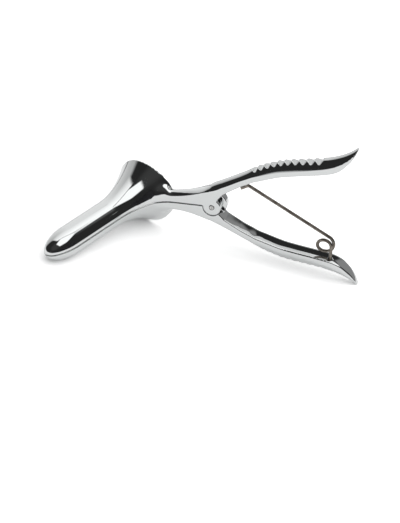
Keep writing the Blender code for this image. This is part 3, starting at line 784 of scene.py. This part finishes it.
def white_laminate():
    """Matt white laminate of the table.

    The eye sees an even white with the near shadows. In the polish the table is painted darker with
    distance: painted shade that only reflections show.
    """
    material, tree = new_material("white_laminate")
    place = add_node(tree, "ShaderNodeNewGeometry").outputs["Position"]
    away = add_node(tree, "ShaderNodeVectorMath", {"operation": 'LENGTH'}, {0: place}).outputs["Value"]
    fall = add_node(tree, "ShaderNodeMapRange", {"interpolation_type": 'SMOOTHSTEP'}, {
        "Value": away, "From Min": TABLE_NEAR, "From Max": TABLE_FAR}).outputs["Result"]
    path = add_node(tree, "ShaderNodeLightPath").outputs
    # painted shade: for glossy rays only, the table's colour is mixed towards #404042 with distance
    painted_far_shade = add_node(tree, "ShaderNodeMath", {"operation": 'MULTIPLY'}, {
        0: fall, 1: path["Is Glossy Ray"]}).outputs["Value"]
    colour = add_node(tree, "ShaderNodeMix", {"data_type": 'RGBA'}, {
        "Factor": painted_far_shade, 6: linear("#FEFEFE"), 7: linear("#404042")}).outputs[2]
    seen = add_node(tree, "ShaderNodeMix", {"data_type": 'RGBA'}, {
        "Factor": path["Is Camera Ray"], 6: colour,
        7: (TABLE_WHITE, TABLE_WHITE, TABLE_WHITE, 1)}).outputs[2]
    shader = add_node(tree, "ShaderNodeBsdfDiffuse", inputs={"Color": seen})
    add_node(tree, "ShaderNodeOutputMaterial", inputs={"Surface": shader.outputs["BSDF"]})
    return material


def white_table():
    """Plain white table under the instrument."""
    mesh = bpy.data.meshes.new("table")
    shape = bmesh.new()
    bmesh.ops.create_grid(shape, x_segments=1, y_segments=1, size=TABLE_REACH)
    shape.to_mesh(mesh)
    shape.free()
    mesh.materials.append(white_laminate())
    table = link(bpy.data.objects.new("table", mesh))


def polish_card(name, corners, shader_kind, inputs):
    """Card that is seen only in the polish."""
    mesh = bpy.data.meshes.new(name)
    shape = bmesh.new()
    shape.faces.new([shape.verts.new(corner) for corner in corners])
    shape.to_mesh(mesh)
    shape.free()
    card = link(bpy.data.objects.new(name, mesh))
    material, tree = new_material(name)
    shader = add_node(tree, shader_kind, inputs=inputs)
    add_node(tree, "ShaderNodeOutputMaterial", inputs={"Surface": shader.outputs[0]})
    mesh.materials.append(material)
    card.visible_camera = False
    card.visible_diffuse = False
    card.visible_shadow = False


def black_flag():
    """Black card that stands at the right of the table."""
    corners = [(FLAG_NEAR.x, FLAG_NEAR.y, 0), (FLAG_FAR.x, FLAG_FAR.y, 0),
               (FLAG_FAR.x, FLAG_FAR.y, FLAG_HEIGHT), (FLAG_NEAR.x, FLAG_NEAR.y, FLAG_HEIGHT)]
    polish_card("black_felt_flag", corners, "ShaderNodeBsdfDiffuse", {"Color": linear("#303032")})


def groove_card(to_part):
    """Small white card held behind the upper grip, which lights the walls of its grooves."""
    first, last = (to_part @ Vector((x, 0, crown(x))) for x in (GROOVE_START, GROOVE_END))
    away = Vector((math.sin(CARD_BEARING) * math.cos(CARD_ELEVATION),
                   math.cos(CARD_BEARING) * math.cos(CARD_ELEVATION), math.sin(CARD_ELEVATION)))
    along = (last - first).normalized()
    along = (along - along.dot(away) * away).normalized() * CARD_HALF_WIDTH
    across = away.cross(along).normalized() * CARD_HALF_HEIGHT
    middle = (first + last) / 2 + CARD_AWAY * away
    corners = [middle - along - across, middle + along - across, middle + along + across,
               middle - along + across]
    polish_card("white_card", corners, "ShaderNodeEmission", {"Strength": CARD_LIGHT})


def ray_places(tree, ray):
    """Coordinates of a mirrored ray that the edges of the panels and walls are given in.

    Overhead panels are laid out on a ceiling at height one: left and right, near and far, and across
    the gap and the slanting edges. Walls go by their bearing in degrees from +Y. Foot and top are the
    upward share of the ray.
    """
    axes = add_node(tree, "ShaderNodeSeparateXYZ", inputs={"Vector": ray}).outputs
    height = add_node(tree, "ShaderNodeMath", {"operation": 'MAXIMUM'}, {
        0: axes["Z"], 1: LOWEST_RISE}).outputs["Value"]
    ceiling = add_node(tree, "ShaderNodeVectorMath", {"operation": 'DIVIDE'}, {
        0: ray, 1: height}).outputs["Vector"]
    flat = add_node(tree, "ShaderNodeSeparateXYZ", inputs={"Vector": ceiling}).outputs
    turn = add_node(tree, "ShaderNodeMath", {"operation": 'ARCTAN2'}, {
        0: axes["X"], 1: axes["Y"]}).outputs["Value"]
    bearing = add_node(tree, "ShaderNodeMath", {"operation": 'DEGREES'}, {0: turn}).outputs["Value"]
    places = {"foot": axes["Z"], "top": axes["Z"], "left": flat["X"], "right": flat["X"],
              "near": flat["Y"], "far": flat["Y"], "from": bearing, "to": bearing}
    for edge, line in (("gap", GAP_LINE), ("slant", SLANT_LINE), ("corner", CORNER_LINE)):
        places[edge] = add_node(tree, "ShaderNodeVectorMath", {"operation": 'DOT_PRODUCT'}, {
            0: ceiling, 1: line}).outputs["Value"]
    return places


def soft_panel(tree, places, edges, light):
    """Light of a panel seen in the polish, which grows softly from each of its edges."""
    for edge, (outside, inside) in edges.items():
        light = add_node(tree, "ShaderNodeMapRange", {"interpolation_type": 'SMOOTHSTEP'}, {
            "Value": places[edge], "From Min": outside, "From Max": inside,
            "To Max": light}).outputs["Result"]
    return light


def room_in_polish(tree, ray):
    """Light that the polish mirrors: a dark room with soft white panels and walls."""
    places = ray_places(tree, ray)
    left_light = add_node(tree, "ShaderNodeMapRange", inputs={
        "Value": places["left"], "From Min": LEFT_FADE[0], "From Max": LEFT_FADE[1],
        "To Min": LEFT_DIM, "To Max": PANEL_LIGHT}).outputs["Result"]
    wall_light = add_node(tree, "ShaderNodeMapRange", inputs={
        "Value": places["from"], "From Min": WALL_FADE[0], "From Max": WALL_FADE[1],
        "To Min": WALL_DIM, "To Max": WALL_LIGHT}).outputs["Result"]
    towards = add_node(tree, "ShaderNodeVectorMath", {"operation": 'DOT_PRODUCT'}, {
        0: ray, 1: ROOM_GLOW_FROM}).outputs["Value"]
    light = add_node(tree, "ShaderNodeMapRange", {"interpolation_type": 'SMOOTHSTEP'}, {
        "Value": towards, "From Min": ROOM_GLOW_START, "From Max": 1.0, "To Min": ROOM_LIGHT,
        "To Max": ROOM_GLOW}).outputs["Result"]
    panels = ((RIGHT_PANEL, PANEL_LIGHT), (LEFT_PANEL, left_light), (FAR_PANEL, PANEL_LIGHT),
              (LEFT_WALL, wall_light), (LOW_WALL, LOW_LIGHT), (BACK_WALL, BACK_LIGHT))
    for edges, strength in panels:
        light = add_node(tree, "ShaderNodeMath", {"operation": 'MAXIMUM'}, {
            0: light, 1: soft_panel(tree, places, edges, strength)}).outputs["Value"]
    return light


def studio_world():
    """Flat white light for matt surfaces, and for the polish the room with its panels."""
    world = bpy.data.worlds.new("studio")
    bpy.context.scene.world = world
    world.use_nodes = True
    tree = world.node_tree
    tree.nodes.clear()
    ray = add_node(tree, "ShaderNodeTexCoord").outputs["Generated"]
    path = add_node(tree, "ShaderNodeLightPath").outputs
    plain = add_node(tree, "ShaderNodeMix", inputs={
        "Factor": path["Is Camera Ray"], "A": WORLD_LIGHT, "B": 1.0}).outputs["Result"]
    strength = add_node(tree, "ShaderNodeMix", inputs={
        "Factor": path["Is Glossy Ray"], "A": plain, "B": room_in_polish(tree, ray)}).outputs["Result"]
    glow = add_node(tree, "ShaderNodeBackground", inputs={"Color": (1, 1, 1, 1), "Strength": strength})
    add_node(tree, "ShaderNodeOutputWorld", inputs={"Surface": glow.outputs["Background"]})


def key_lamp():
    """Wide soft lamp from the right, which draws the shadows to the left."""
    data = bpy.data.lights.new("key_lamp", 'SUN')
    data.energy = KEY_LIGHT
    data.angle = KEY_WIDTH
    lamp = link(bpy.data.objects.new("key_lamp", data))
    lamp.rotation_euler = KEY_FROM.to_track_quat('Z', 'Y').to_euler()
    lamp.visible_glossy = False


place_camera()
to_part = lever_frame()
steel = mirror_polished_stainless()
for lever_name, lever_side in (("upper_lever", 1), ("lower_lever", -1)):
    lever = forged_lever(lever_name + "_polished", lever_side)
    polish(lever, lever_side)
    lever.data.transform(to_part)
    lever.data.materials.clear()
    lever.data.materials.append(steel)
    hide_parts(lever_name)
    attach(lever, lever_name)
wire = bent_wire(to_part)
wire.data.materials.append(drawn_spring_steel())
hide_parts("return_spring")
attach(wire, "return_spring")
rivet = turned_rivet()
rivet.data.transform(to_part)
rivet.data.materials.append(ground_rivet_steel())
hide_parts("pivot_pin")
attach(rivet, "lower_lever")
white_table()
black_flag()
groove_card(to_part)
studio_world()
key_lamp()
bpy.context.scene.view_settings.view_transform = 'Standard'
